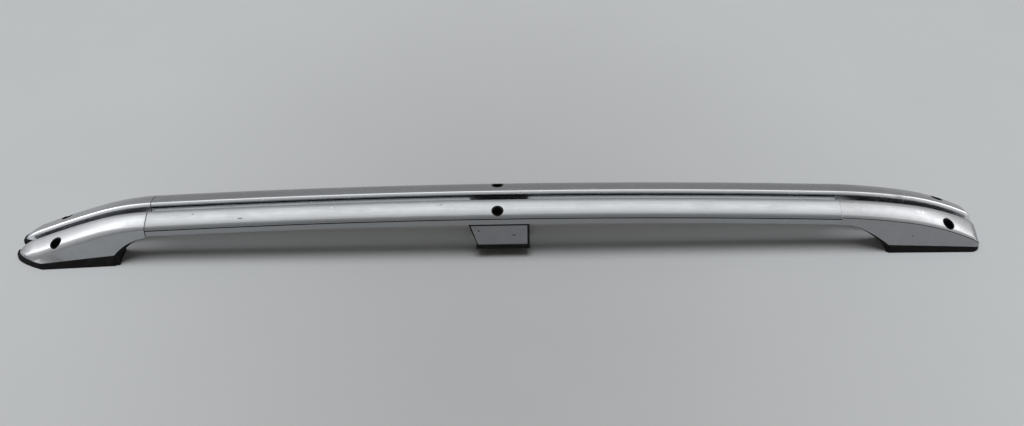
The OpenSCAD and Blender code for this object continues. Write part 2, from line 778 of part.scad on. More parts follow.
module rear_sleeve() {
    floor_z = rear_base_z(rear_access_x) + floor_t;
    color(plastic_black)
    difference() {
        intersection() {
            at(rear_access_x, access_s, floor_z) cylinder(d = sleeve_d, h = big);
            translate([0, 0, -sleeve_sink])
            skin([for (x = around(rear_access_x)) [x, rear_section(x, 0, rear_bottom_z(x))]]);
        }
        at(rear_access_x, access_s, 0) cylinder(d = sleeve_d - 2 * sleeve_wall, h = big);
    }
}

module middle_sleeve() {
    floor_z = support_top_z + rail_wall;
    collar_z = top_z(0) - access_depth;
    color(plastic_black)
    difference() {
        union() {
            at(-middle_access_x, access_s, floor_z)
            cylinder(d = inner_sleeve_d, h = collar_z + cut - floor_z);
            intersection() {
                at(-middle_access_x, access_s, collar_z + sleeve_play) cylinder(d = sleeve_d, h = big);
                translate([0, 0, -sleeve_sink])
                skin([for (x = [-mid_run, mid_run]) outline_at(rail_outline, x, top_z(mid_run))]);
            }
        }
        at(-middle_access_x, access_s, 0) cylinder(d = inner_sleeve_d - 2 * sleeve_wall, h = big);
    }
}

// Flanged bush that the fixing screw clamps, with its flange's seat at z1
module bush(x, z0, z1) {
    color(bare_steel)
    difference() {
        union() {
            at(x, access_s, z0) cylinder(d = bush_d, h = z1 - z0);
            at(x, access_s, z1) cylinder(d = flange_d, h = flange_t);
        }
        at(x, access_s, z0 - cut) cylinder(d = screw_hole_d, h = z1 - z0 + flange_t + 2 * cut);
    }
}

module front_bush() {
    bush(-front_access_x, 0, front_base_z(-front_access_x) + floor_t);
}

module rear_bush() {
    bush(rear_access_x, 0, rear_base_z(rear_access_x) + floor_t);
}

module middle_bush() {
    bush(-middle_access_x, cover_z - middle_pad_t, support_top_z + rail_wall);
}

// Pan-head self-tapping screw pointing up, with the seat of its head at zero
drive_w = 4.6;
drive_depth = 1.8;
module tapping_screw(length) {
    difference() {
        union() {
            cylinder(d = tapping_d, h = length);
            translate([0, 0, -tapping_head_h]) cylinder(d = tapping_head_d, h = tapping_head_h);
        }
        translate([0, 0, -tapping_head_h - cut]) cylinder(d = drive_w, h = drive_depth + cut, $fn = 6);
    }
}

module joint_screws(side) {
    color(bare_steel)
    for (i = [0, 1]) joint_screw_place(side, i) tapping_screw(tapping_grip + rail_wall);
}

module support_screws() {
    tip_z = support_top_z + rail_wall + 1.5;
    color(bare_steel)
    for (p = support_screw_spots) at(p[0], p[1], p[2]) tapping_screw(tip_z - p[2]);
}

on_side("left") rail();  // left_rail
on_side("left") front_foot();  // left_front_foot
on_side("left") rear_foot();  // left_rear_foot
on_side("left") middle_cover();  // left_middle_cover
on_side("left") middle_support();  // left_middle_support
on_side("left") front_pad();  // left_front_pad
on_side("left") middle_pad();  // left_middle_pad
on_side("left") rear_pad();  // left_rear_pad
on_side("left") front_sleeve();  // left_front_sleeve
on_side("left") middle_sleeve();  // left_middle_sleeve
on_side("left") rear_sleeve();  // left_rear_sleeve
on_side("left") front_bush();  // left_front_bush
on_side("left") middle_bush();  // left_middle_bush
on_side("left") rear_bush();  // left_rear_bush
on_side("left") joint_screws(-1);  // left_front_joint_screws
on_side("left") joint_screws(1);  // left_rear_joint_screws
on_side("left") support_screws();  // left_support_screws
on_side("right") rail();  // right_rail
on_side("right") front_foot();  // right_front_foot
on_side("right") rear_foot();  // right_rear_foot
on_side("right") middle_cover();  // right_middle_cover
on_side("right") middle_support();  // right_middle_support
on_side("right") front_pad();  // right_front_pad
on_side("right") middle_pad();  // right_middle_pad
on_side("right") rear_pad();  // right_rear_pad
on_side("right") front_sleeve();  // right_front_sleeve
on_side("right") middle_sleeve();  // right_middle_sleeve
on_side("right") rear_sleeve();  // right_rear_sleeve
on_side("right") front_bush();  // right_front_bush
on_side("right") middle_bush();  // right_middle_bush
on_side("right") rear_bush();  // right_rear_bush
on_side("right") joint_screws(-1);  // right_front_joint_screws
on_side("right") joint_screws(1);  // right_rear_joint_screws
on_side("right") support_screws();  // right_support_screws
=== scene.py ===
"""Looks for a pair of silver roof side rails: materials, wear, painted highlights and painted shade, a pale
floor, soft light and a camera.
"""

import math
from typing import NamedTuple

import bmesh
import bpy
from mathutils import Matrix, Vector


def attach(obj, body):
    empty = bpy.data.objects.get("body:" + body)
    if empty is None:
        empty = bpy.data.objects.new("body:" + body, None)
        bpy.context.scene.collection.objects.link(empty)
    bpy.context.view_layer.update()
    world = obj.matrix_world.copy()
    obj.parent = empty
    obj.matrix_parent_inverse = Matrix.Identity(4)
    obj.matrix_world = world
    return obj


bl_info = {
    "name": "Roof side rail pair",
    "version": (1, 0, 0),
    "blender": (4, 5, 0),
    "location": "View3D > Sidebar > Roof rails",
    "description": "Finishes the two rails and sets up a pale studio",
    "category": "Object",
}

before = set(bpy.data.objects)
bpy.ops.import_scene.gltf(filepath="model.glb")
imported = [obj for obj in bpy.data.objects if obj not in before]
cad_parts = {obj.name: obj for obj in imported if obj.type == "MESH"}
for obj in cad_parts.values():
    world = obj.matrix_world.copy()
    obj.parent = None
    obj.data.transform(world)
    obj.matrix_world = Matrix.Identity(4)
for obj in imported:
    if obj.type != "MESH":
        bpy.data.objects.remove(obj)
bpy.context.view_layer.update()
SIDES = {"left": -1, "right": 1}


# Silver, dust, and painted shade in the grooves and seams

DUST_COLOUR = (0.45, 0.44, 0.42, 1.0)
DUST_SCALE = 26.0
DUST_AMOUNT = 0.12
DUST_ROUGHNESS = 0.8
SCUFF_ROUGHNESS = 0.25
GRAIN_SPREAD = 0.05
GRAIN_GLOSS = 0.06
GRAIN_DEPTH = 0.00008
COVER_DULLNESS = 0.12
# Near-black painted into the rails' grooves and the rear feet's seams: painted shade in these recesses
GROOVE_PAINTED_SHADE_COLOUR = (0.014, 0.015, 0.017)
SEAM_PAINTED_SHADE_COLOUR = (0.018, 0.018, 0.020)
PAINTED_SHADE_FINISH = {"roughness": 0.7, "dust_scale": 80.0, "dust_amount": 0.3}


# Black rubber and plastic

BLACK_DUST_COLOUR = (0.045, 0.044, 0.042, 1.0)
BLACK_GLOSS = 0.14
SKIN_SCALE = 700.0
SKIN_DEPTH = 0.0002
SKIN_SPREAD = 0.3
SKIN_ROUGHNESS = 0.12
PAD_FINISH = {"roughness": 0.72, "dust_scale": 90.0, "dust_amount": 0.25}
LINING_FINISH = {"roughness": 0.72, "dust_scale": 90.0, "dust_amount": 0.2}
SUPPORT_FINISH = {"roughness": 0.55, "dust_scale": 60.0, "dust_amount": 0.2}
SLEEVE_FINISH = {"roughness": 0.5, "dust_scale": 120.0, "dust_amount": 0.15}


# Plated steel

BUSH_COLOUR = (0.42, 0.42, 0.43)
BUSH_ROUGHNESS = 0.38
SCREW_COLOUR = (0.38, 0.38, 0.39)
SCREW_ROUGHNESS = 0.34
PLATING_DEPTH = 0.00005
TURNING_SCALES = {"Flake_Scale": 900.0, "Wave_Scale": 220.0}


# Smoothing of the solids' faces, in metres and radians

WELD_DISTANCE = 0.00002
CRISP_ANGLE = math.radians(28)


# Faces that get painted shade, found by their direction and their distance from the middle line, in metres

GROOVE_WALLS = ((0.0091, 0.0107), (0.0503, 0.0519))
OUTER_GROOVE_BED = (0.0502, 0.0506)
INNER_GROOVE_BED = (0.0104, 0.0108)
WALL_LEVEL = 0.94
BED_UPRIGHT = 0.95
SEAM_ACROSS = 0.046
SEAM_LOW = 0.02
SEAM_SLOPE = 0.5
SEAM_DEPTH = 0.0004
SPOT_DIGITS = 5


# Marks on the silver, with a painted highlight and painted shade among them, as (place, half size, break-up,
# strength, tint), with the first two in metres

MARK_CORE = 0.35
MARK_RAGGEDNESS = 0.06
# A painted highlight: a lighter band along the inner top edge of the far rail and of its feet
PAINTED_HIGHLIGHT_INNER_EDGE = ((0.0, 0.0102, 0.07), (9.0, 0.0045, 0.9), 0.10, 0.95, 2.3)
FRONT_JOINT_LINE = ((-0.6296, 0.0, 0.07), (0.0016, 0.9, 0.9), 0.20, 0.90, 0.16)
RAIL_MARKS_AND_HIGHLIGHT = {
    "left": (
        ((-0.4578, -0.0391, 0.0902), (0.0065, 0.0024, 0.02), 0.44, 0.85, 0.35),
        ((-0.5446, -0.0251, 0.0904), (0.0030, 0.0016, 0.02), 0.40, 0.80, 0.45),
        ((-0.2949, -0.0233, 0.0985), (0.0022, 0.0013, 0.02), 0.30, 0.90, 1.70),
        ((-0.1017, -0.0234, 0.1013), (0.0085, 0.0027, 0.02), 0.38, 0.80, 0.45),
        ((-0.1030, -0.0230, 0.1013), (0.0060, 0.0013, 0.02), 0.32, 0.90, 1.80),
        ((-0.0700, -0.0330, 0.0990), (0.0300, 0.0050, 0.02), 0.52, 0.40, 1.25),
        ((0.2380, -0.0200, 0.1000), (0.0040, 0.0010, 0.02), 0.40, 0.70, 0.50),
        FRONT_JOINT_LINE,
    ),
    "right": (
        PAINTED_HIGHLIGHT_INNER_EDGE,
        ((0.300, 0.030, 0.099), (0.010, 0.0030, 0.02), 0.46, 0.4, 0.6),
        FRONT_JOINT_LINE,
    ),
}
COVER_MARKS_AND_SHADE = (
    # Painted shade: a dark line along the top of the cover, under the rail
    ((0.0050, -0.050, 0.0746), (0.30, 0.02, 0.0034), 0.20, 0.95, 0.05),
    ((-0.0378, -0.050, 0.0684), (0.0018, 0.02, 0.0016), 0.24, 0.9, 0.15),
    ((-0.0315, -0.050, 0.0614), (0.0026, 0.02, 0.0022), 0.24, 0.9, 0.10),
    ((0.0319, -0.050, 0.0510), (0.0050, 0.02, 0.0024), 0.40, 0.85, 0.15),
)
FRONT_FOOT_MARKS_AND_HIGHLIGHT = (
    PAINTED_HIGHLIGHT_INNER_EDGE,
    ((-0.8607, -0.0400, 0.0156), (0.0060, 0.0060, 0.004), 0.48, 0.6, 0.45),
    ((-0.8544, -0.0285, 0.0180), (0.0050, 0.0040, 0.004), 0.46, 0.5, 0.45),
    ((-0.8367, -0.0600, 0.0150), (0.0070, 0.0080, 0.003), 0.46, 0.5, 0.55),
)
REAR_FOOT_MARKS_AND_HIGHLIGHT = (
    PAINTED_HIGHLIGHT_INNER_EDGE,
    ((0.7520, -0.0550, 0.0363), (0.0022, 0.02, 0.0022), 0.34, 0.8, 0.35),
    ((0.6835, -0.0443, 0.0850), (0.0140, 0.0018, 0.01), 0.48, 0.6, 0.50),
    ((0.7680, -0.0267, 0.0700), (0.0160, 0.0040, 0.01), 0.54, 0.8, 1.80),
    ((0.7365, 0.0119, 0.0896), (0.0120, 0.0040, 0.03), 0.46, 0.5, 0.45),
)


# Arches that the linings follow, from the pad's heel to the lining's end, in metres

class Arch(NamedTuple):
    """An arch, and the lining's thickness and its outer and inner sides"""

    centre_x: float
    centre_z: float
    radius: float
    heel_x: float
    end_x: float
    heel_thickness: float
    heel_outer: float
    heel_inner: float
    end_outer: float
    end_inner: float


ARCHES = {
    "front": Arch(
        centre_x=-0.612, centre_z=-0.0418, radius=0.1035, heel_x=-0.6935, end_x=-0.641,
        heel_thickness=0.0090, heel_outer=0.0552, heel_inner=0.0078, end_outer=0.0495, end_inner=0.0131),
    "rear": Arch(
        centre_x=0.5244, centre_z=-0.1942, radius=0.2820, heel_x=0.7130, end_x=0.656,
        heel_thickness=0.0050, heel_outer=0.0540, heel_inner=0.0083, end_outer=0.0518, end_inner=0.0096),
}
LINING_STEPS = 14
LINING_END_THICKNESS = 0.0012
LINING_THINNING = 1.2
LINING_CLEARANCE = 0.0001
LINING_FOOT_HEIGHT = 0.0004


# Sky that the silver reflects, as (degrees behind straight up, brightness)

SKY_STOPS = (
    (-180, 0.25), (-90, 0.28), (-60, 0.34), (-40, 0.42), (-20, 0.50), (-5, 0.57), (6, 0.71), (14, 1.00),
    (20, 1.62), (25, 2.35), (29, 1.95), (34, 1.10), (41, 0.72), (56, 0.56), (80, 0.40), (180, 0.30),
)
SKY_PEAK = max(brightness for angle, brightness in SKY_STOPS)
SKY_SIDES = (0.25, 0.8)
SKY_SIDE_GAIN = 1.8


# Studio, in metres

AMBIENT_COLOUR = (0.155, 0.149, 0.138, 1)
KEY_COLOUR = (0.94, 0.975, 1.0)
KEY_DISTANCE = 2.0
BACKDROP_SHARE = 0.87
FLOOR_HALF = 14.0
FLOOR_DROP = 0.0002
# Painted light on the floor: it grows paler away from a point in front of the rails
FLOOR_MIDDLE_Y = -0.25
FLOOR_DEPTH_SHARE = 0.6
FLOOR_FADE = 1.0
FLOOR_SPREAD = 0.03
FLOOR_ROUGHNESS = 0.8
FLOOR_GLOSS = 0.2
# Painted shadow: a darker band of the floor under the rails
SHADE_HALF_WIDTH = 0.06
SHADE_ENDS = (0.55, 0.72)
SHADE_TONE = 0.62
SENSOR_WIDTH = 36.0
IMAGE_WIDTH = 1024
FOCAL_LENGTH_IN_PIXELS = 1254
CLIP_START = 0.05
CLIP_END = 60.0


# Settings

class RailFinishSettings(bpy.types.PropertyGroup):
    """Colours and roughness of the silver pieces"""

    rail_colour: bpy.props.FloatVectorProperty(
        name="Rail colour", description="Anodised extrusion", subtype="COLOR",
        size=3, min=0, max=1, default=(0.355, 0.368, 0.38))
    front_foot_colour: bpy.props.FloatVectorProperty(
        name="Front foot colour", description="Silver coat of the front feet", subtype="COLOR",
        size=3, min=0, max=1, default=(0.41, 0.42, 0.435))
    # Painted shade: the same silver coat as the front feet, made darker for the shade that falls on the rear
    # feet
    rear_foot_shaded_colour: bpy.props.FloatVectorProperty(
        name="Rear foot colour", description="Silver coat of the rear feet", subtype="COLOR",
        size=3, min=0, max=1, default=(0.335, 0.34, 0.35))
    cover_colour: bpy.props.FloatVectorProperty(
        name="Cover colour", description="Silver coat of the middle covers", subtype="COLOR",
        size=3, min=0, max=1, default=(0.30, 0.30, 0.315))
    roughness: bpy.props.FloatProperty(
        name="Roughness", description="Roughness of the silver", subtype="FACTOR",
        min=0, max=1, default=0.20)


class RubberSettings(bpy.types.PropertyGroup):
    """Colours of the black pieces"""

    pad_colour: bpy.props.FloatVectorProperty(
        name="Pad colour", description="Rubber of the seating pads and linings", subtype="COLOR",
        size=3, min=0, max=1, default=(0.006, 0.006, 0.0065))
    sleeve_colour: bpy.props.FloatVectorProperty(
        name="Sleeve colour", description="Plastic of the sleeves and supports", subtype="COLOR",
        size=3, min=0, max=1, default=(0.006, 0.006, 0.0065))


class StudioSettings(bpy.types.PropertyGroup):
    """Floor, light and camera"""

    # Painted light: the floor goes from the first colour to the paler second one away from the rails
    floor_colour: bpy.props.FloatVectorProperty(
        name="Floor colour", description="Pale floor round the middle of the rails", subtype="COLOR",
        size=3, min=0, max=1, default=(0.468, 0.467, 0.469))
    floor_far_colour: bpy.props.FloatVectorProperty(
        name="Floor far colour", description="Paler floor further out, and the backdrop", subtype="COLOR",
        size=3, min=0, max=1, default=(0.592, 0.597, 0.603))
    key_strength: bpy.props.FloatProperty(
        name="Key strength", description="Strength of the broad light from above",
        min=0, default=2.3)
    key_spread: bpy.props.FloatProperty(
        name="Key spread", description="How broad the light from above is, which softens the shadows",
        subtype="ANGLE", unit="ROTATION", default=math.radians(40))
    key_lean: bpy.props.FloatProperty(
        name="Key lean", description="How far the light stands in front of straight up",
        subtype="ANGLE", unit="ROTATION", default=math.radians(9))
    lens: bpy.props.FloatProperty(
        name="Lens", description="Focal length on a sensor 36 mm wide, in millimetres",
        min=10, default=FOCAL_LENGTH_IN_PIXELS / IMAGE_WIDTH * SENSOR_WIDTH)
    camera_place: bpy.props.FloatVectorProperty(
        name="Camera place", description="Where the camera stands", subtype="TRANSLATION",
        unit="LENGTH", size=3, default=(0.029, -1.830, 1.442))
    camera_fall: bpy.props.FloatProperty(
        name="Camera fall", description="How far the camera looks down", subtype="ANGLE",
        unit="ROTATION", default=math.radians(37))
    camera_roll: bpy.props.FloatProperty(
        name="Camera roll", description="Lean of the camera about its line of sight", subtype="ANGLE",
        unit="ROTATION", default=math.radians(0.95))


# Shader nodes

def feed(tree, socket, value):
    """Links a socket to another one or sets its value, and leaves it alone for None"""
    if isinstance(value, bpy.types.NodeSocket):
        tree.links.new(value, socket)
    elif value is not None:
        socket.default_value = value


def math_node(tree, operation, a, b=None, clamp=False):
    """Adds a Math node and returns its output"""
    node = tree.nodes.new("ShaderNodeMath")
    node.operation = operation
    node.use_clamp = clamp
    feed(tree, node.inputs[0], a)
    feed(tree, node.inputs[1], b)
    return node.outputs[0]


def vector_node(tree, operation, a, b=None, scale=None):
    """Adds a Vector Math node and returns its output"""
    node = tree.nodes.new("ShaderNodeVectorMath")
    node.operation = operation
    feed(tree, node.inputs[0], a)
    feed(tree, node.inputs[1], b)
    if operation == "SCALE":
        feed(tree, node.inputs["Scale"], scale)
    return node.outputs["Value" if operation == "LENGTH" else "Vector"]


def noise_node(tree, vector, scale, detail=2.0, roughness=0.5):
    """Adds a Noise texture and returns its grey output"""
    node = tree.nodes.new("ShaderNodeTexNoise")
    for label, value in (("Vector", vector), ("Scale", scale), ("Detail", detail), ("Roughness", roughness)):
        feed(tree, node.inputs[label], value)
    return node.outputs["Fac"]


def range_node(tree, value, low, high, to_low=0.0, to_high=1.0):
    """Maps a value from one range to another, with smooth ends, and returns the result"""
    node = tree.nodes.new("ShaderNodeMapRange")
    node.interpolation_type = "SMOOTHSTEP"
    feed(tree, node.inputs["Value"], value)
    for label, limit in (("From Min", low), ("From Max", high), ("To Min", to_low), ("To Max", to_high)):
        feed(tree, node.inputs[label], limit)
    return node.outputs["Result"]


def mix_colour(tree, share, a, b):
    """Mixes two colours by a share, through the colour sockets of a Mix node, and returns the result"""
    node = tree.nodes.new("ShaderNodeMix")
    node.data_type = "RGBA"
    for number, value in ((0, share), (6, a), (7, b)):
        feed(tree, node.inputs[number], value)
    return node.outputs[2]


def mix_greys(tree, a, b, share):
    """Adds two greys, the second with the share given and the first with the rest"""
    first = math_node(tree, "MULTIPLY", a, 1 - share)
    second = math_node(tree, "MULTIPLY", b, share)
    return math_node(tree, "ADD", first, second)


def split_axes(tree, vector):
    """Adds a Separate XYZ node and returns its outputs"""
    node = tree.nodes.new("ShaderNodeSeparateXYZ")
    tree.links.new(vector, node.inputs[0])
    return node.outputs


# Shader node groups

def new_group(name, inputs, outputs):
    """Starts a shader node group and returns it with the sockets it is given and those it puts out"""
    group = bpy.data.node_groups.new(name, "ShaderNodeTree")
    for label, kind, value in inputs:
        socket = group.interface.new_socket(label, in_out="INPUT", socket_type="NodeSocket" + kind)
        if value is not None:
            socket.default_value = value
    for label, kind in outputs:
        group.interface.new_socket(label, in_out="OUTPUT", socket_type="NodeSocket" + kind)
    source = group.nodes.new("NodeGroupInput")
    target = group.nodes.new("NodeGroupOutput")
    source.location = (-900, 0)
    target.location = (600, 0)
    return group, source.outputs, target.inputs


def drawn_grain_group():
    """Fine lengthwise lines of an extrusion: a grey that varies across the length, and its height"""
    group, given, result = new_group(
        "drawn_grain",
        [("Position", "Vector", None), ("Fineness", "Float", 900.0), ("Length", "Float", 9.0)],
        [("Tone", "Float"), ("Height", "Float")])
    stretch = group.nodes.new("ShaderNodeCombineXYZ")
    for axis, label in (("X", "Length"), ("Y", "Fineness"), ("Z", "Fineness")):
        group.links.new(given[label], stretch.inputs[axis])
    stretched = vector_node(group, "MULTIPLY", given["Position"], stretch.outputs[0])
    fine = noise_node(group, stretched, scale=1.0, detail=4.0, roughness=0.6)
    broad = noise_node(group, given["Position"], scale=14.0, detail=3.0, roughness=0.55)
    tone = mix_greys(group, fine, broad, share=0.4)
    group.links.new(range_node(group, tone, 0.32, 0.68), result["Tone"])
    group.links.new(fine, result["Height"])
    return group


def flake_group():
    """Fine flakes and slight waviness of a silver coat"""
    group, given, result = new_group(
        "silver_flake",
        [("Position", "Vector", None), ("Flake Scale", "Float", 2600.0), ("Wave Scale", "Float", 60.0)],
        [("Tone", "Float"), ("Height", "Float")])
    flake = noise_node(group, given["Position"], given["Flake Scale"])
    wave = noise_node(group, given["Position"], given["Wave Scale"])
    tone = mix_greys(group, flake, wave, share=0.45)
    group.links.new(range_node(group, tone, 0.3, 0.7), result["Tone"])
    group.links.new(wave, result["Height"])
    return group


def mark_and_light_group():
    """An oval patch at a place, broken up by noise, for marks and for painted highlight and shade: 1 in the
    patch and 0 away from it
    """
    group, given, result = new_group(
        "mark_and_light",
        [("Position", "Vector", None), ("Place", "Vector", None),
         ("Half Size", "Vector", (0.01, 0.004, 0.05)), ("Break Up", "Float", 0.5), ("Scale", "Float", 500.0)],
        [("Mask", "Float")])
    away = vector_node(group, "SUBTRACT", given["Position"], given["Place"])
    reach = vector_node(group, "LENGTH", vector_node(group, "DIVIDE", away, given["Half Size"]))
    inside = range_node(group, reach, 1.0, MARK_CORE)
    low = math_node(group, "SUBTRACT", given["Break Up"], MARK_RAGGEDNESS)
    high = math_node(group, "ADD", given["Break Up"], MARK_RAGGEDNESS)
    specks = noise_node(group, given["Position"], given["Scale"], detail=4.0)
    broken = range_node(group, specks, low, high)
    group.links.new(math_node(group, "MULTIPLY", inside, broken), result["Mask"])
    return group


def dust_group():
    """Thin dust in broad, broken patches"""
    group, given, result = new_group(
        "dust",
        [("Position", "Vector", None), ("Scale", "Float", 30.0), ("Amount", "Float", 0.5)],
        [("Mask", "Float")])
    patch = noise_node(group, given["Position"], given["Scale"], detail=6.0, roughness=0.65)
    cover = range_node(group, patch, 0.42, 0.78)
    group.links.new(math_node(group, "MULTIPLY", cover, given["Amount"]), result["Mask"])
    return group


GROUP_MAKERS = {
    "drawn_grain": drawn_grain_group,
    "silver_flake": flake_group,
    "mark_and_light": mark_and_light_group,
    "dust": dust_group,
}


def place_group(tree, name, position, **values):
    """Puts a shared node group into a material, building it the first time, and returns its outputs"""
    node = tree.nodes.new("ShaderNodeGroup")
    node.node_tree = bpy.data.node_groups.get(name) or GROUP_MAKERS[name]()
    tree.links.new(position, node.inputs["Position"])
    for label, value in values.items():
        node.inputs[label.replace("_", " ")].default_value = value
    return node.outputs


# Materials

def start_material(name):
    """Makes a plain material and returns it with its tree, its shader's inputs and the object position"""
    material = bpy.data.materials.new(name)
    material.use_nodes = True
    tree = material.node_tree
    position = tree.nodes.new("ShaderNodeTexCoord").outputs["Object"]
    return material, tree, tree.nodes["Principled BSDF"].inputs, position


def set_bump(tree, shader, height, distance, strength):
    """Feeds a height to the shader's normal"""
    bump = tree.nodes.new("ShaderNodeBump")
    bump.inputs["Distance"].default_value = distance
    bump.inputs["Strength"].default_value = strength
    tree.links.new(height, bump.inputs["Height"])
    tree.links.new(bump.outputs["Normal"], shader["Normal"])


def tinted(colour, share=1):
    """A colour scaled in brightness, with alpha"""
    return tuple(min(1.0, c * share) for c in colour) + (1.0,)


def silver_material(name, colour, roughness, group, marks_and_painted_light, bump=0.15):
    """Silver with its grain or flake, thin dust, marks, a painted highlight and painted shade, of which the
    dark ones are duller too
    """
    material, tree, shader, position = start_material(name)
    grain = place_group(tree, group, position)
    colours = mix_colour(
        tree, grain["Tone"], tinted(colour, 1 - GRAIN_SPREAD), tinted(colour, 1 + GRAIN_SPREAD))
    shine = math_node(tree, "MULTIPLY", grain["Tone"], -GRAIN_GLOSS)
    rough = math_node(tree, "ADD", shine, roughness + GRAIN_GLOSS / 2)
    dust = place_group(tree, "dust", position, Scale=DUST_SCALE, Amount=DUST_AMOUNT)["Mask"]
    colours = mix_colour(tree, dust, colours, DUST_COLOUR)
    rough = math_node(tree, "ADD", rough, math_node(tree, "MULTIPLY", dust, DUST_ROUGHNESS))
    for place, half_size, break_up, strength, tint in marks_and_painted_light:
        mark_and_light = place_group(tree, "mark_and_light", position, Place=place, Half_Size=half_size, Break_Up=break_up)
        share = math_node(tree, "MULTIPLY", mark_and_light["Mask"], strength)
        colours = mix_colour(tree, share, colours, tinted(colour, tint))
        # Only dark marks and painted shade get duller; the painted highlight keeps the silver's roughness
        if tint < 1:
            rough = math_node(tree, "ADD", rough, math_node(tree, "MULTIPLY", share, SCUFF_ROUGHNESS))
    tree.links.new(colours, shader["Base Color"])
    tree.links.new(math_node(tree, "ADD", rough, 0.0, clamp=True), shader["Roughness"])
    shader["Metallic"].default_value = 1.0
    set_bump(tree, shader, grain["Height"], GRAIN_DEPTH, strength=bump)
    return material


def black_material(name, colour, roughness, dust_scale, dust_amount):
    """Black rubber or plastic with a fine skin and pale dust; also the black of the painted shade in grooves
    and seams
    """
    material, tree, shader, position = start_material(name)
    dust = place_group(tree, "dust", position, Scale=dust_scale, Amount=dust_amount)["Mask"]
    skin = noise_node(tree, position, SKIN_SCALE, detail=5.0, roughness=0.6)
    shade = mix_colour(tree, skin, tinted(colour, 1 - SKIN_SPREAD), tinted(colour, 1 + SKIN_SPREAD))
    tree.links.new(mix_colour(tree, dust, shade, BLACK_DUST_COLOUR), shader["Base Color"])
    dullness = math_node(tree, "MULTIPLY", skin, SKIN_ROUGHNESS)
    tree.links.new(math_node(tree, "ADD", dullness, roughness - SKIN_ROUGHNESS / 2), shader["Roughness"])
    shader["Specular IOR Level"].default_value = BLACK_GLOSS
    set_bump(tree, shader, skin, SKIN_DEPTH, strength=0.3)
    return material


def plated_material(name, colour, roughness):
    """Zinc-plated steel with faint turning lines"""
    material, tree, shader, position = start_material(name)
    grain = place_group(tree, "silver_flake", position, **TURNING_SCALES)
    tree.links.new(
        mix_colour(tree, grain["Tone"], tinted(colour, 0.8), tinted(colour, 1.1)), shader["Base Color"])
    shader["Metallic"].default_value = 1.0
    shader["Roughness"].default_value = roughness
    set_bump(tree, shader, grain["Height"], PLATING_DEPTH, strength=0.3)
    return material


# Faces and pieces

def faces_outward(polygon):
    """Whether a face looks away from the middle line between the rails"""
    return polygon.normal.y * polygon.center.y > 0


def within(value, limits):
    """Whether a value lies between two limits"""
    return limits[0] < value < limits[1]


def groove_faces(mesh):
    """Numbers of the faces inside the two grooves of an extrusion"""
    found = set()
    for polygon in mesh.polygons:
        across = abs(polygon.center.y)
        bed_limits = OUTER_GROOVE_BED if faces_outward(polygon) else INNER_GROOVE_BED
        wall = abs(polygon.normal.z) > WALL_LEVEL and any(within(across, limits) for limits in GROOVE_WALLS)
        bed = abs(polygon.normal.y) > BED_UPRIGHT and within(across, bed_limits)
        if wall or bed:
            found.add(polygon.index)
    return found


def seam_faces(mesh):
    """Numbers of the faces inside the seam under the crease of a rear foot"""
    def spot(index):
        return tuple(round(c, SPOT_DIGITS) for c in mesh.vertices[index].co)

    def across(index):
        return abs(mesh.vertices[index].co.y)

    found, deep_spots = set(), set()
    outward = [polygon for polygon in mesh.polygons if faces_outward(polygon)]
    for polygon in outward:
        far_out = abs(polygon.center.y) > SEAM_ACROSS and polygon.center.z > SEAM_LOW
        if far_out and polygon.normal.z < -SEAM_SLOPE:
            found.add(polygon.index)
            edge = max(across(i) for i in polygon.vertices)
            deep_spots |= {spot(i) for i in polygon.vertices if across(i) < edge - SEAM_DEPTH}
    for polygon in outward:
        if polygon.normal.z > SEAM_SLOPE and any(spot(i) in deep_spots for i in polygon.vertices):
            found.add(polygon.index)
    return found


def dress(names, material, shade_material=None, find=None):
    """Gives CAD nodes a material, and a black painted shade in the faces found, and smooths their curved
    faces
    """
    for name in names:
        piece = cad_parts[name]
        mesh = piece.data
        mesh.materials.clear()
        mesh.materials.append(material)
        shaded_faces = set()
        if shade_material:
            mesh.materials.append(shade_material)
            shaded_faces = find(mesh)
        for polygon in mesh.polygons:
            polygon.material_index = 1 if polygon.index in shaded_faces else 0
            polygon.use_smooth = True
        if "custom_normal" in mesh.attributes:
            mesh.attributes.remove(mesh.attributes["custom_normal"])
        weld = piece.modifiers.new("weld", "WELD")
        weld.merge_threshold = WELD_DISTANCE
        split = piece.modifiers.new("crisp_edges", "EDGE_SPLIT")
        split.split_angle = CRISP_ANGLE


def both(*names):
    """Node names on both sides"""
    return [f"{side}_{name}" for side in SIDES for name in names]


def lining_stations(arch):
    """Steps along an arch, each as (share of the way, place on the arch, place on the lining's underside)"""
    stations = []
    for i in range(LINING_STEPS + 1):
        share = i / LINING_STEPS
        x = arch.heel_x + (arch.end_x - arch.heel_x) * share
        z = arch.centre_z + math.sqrt(arch.radius ** 2 - (x - arch.centre_x) ** 2)
        lean = Vector((x - arch.centre_x, 0, z - arch.centre_z)).normalized()
        extra = (arch.heel_thickness - LINING_END_THICKNESS) * (1 - share) ** LINING_THINNING
        top = Vector((x, 0, z)) - lean * LINING_CLEARANCE
        stations.append((share, top, top - lean * (LINING_END_THICKNESS + extra)))
    top, low = (Vector((place.x, 0, LINING_FOOT_HEIGHT)) for place in stations[0][1:])
    return [(0, top, low)] + stations


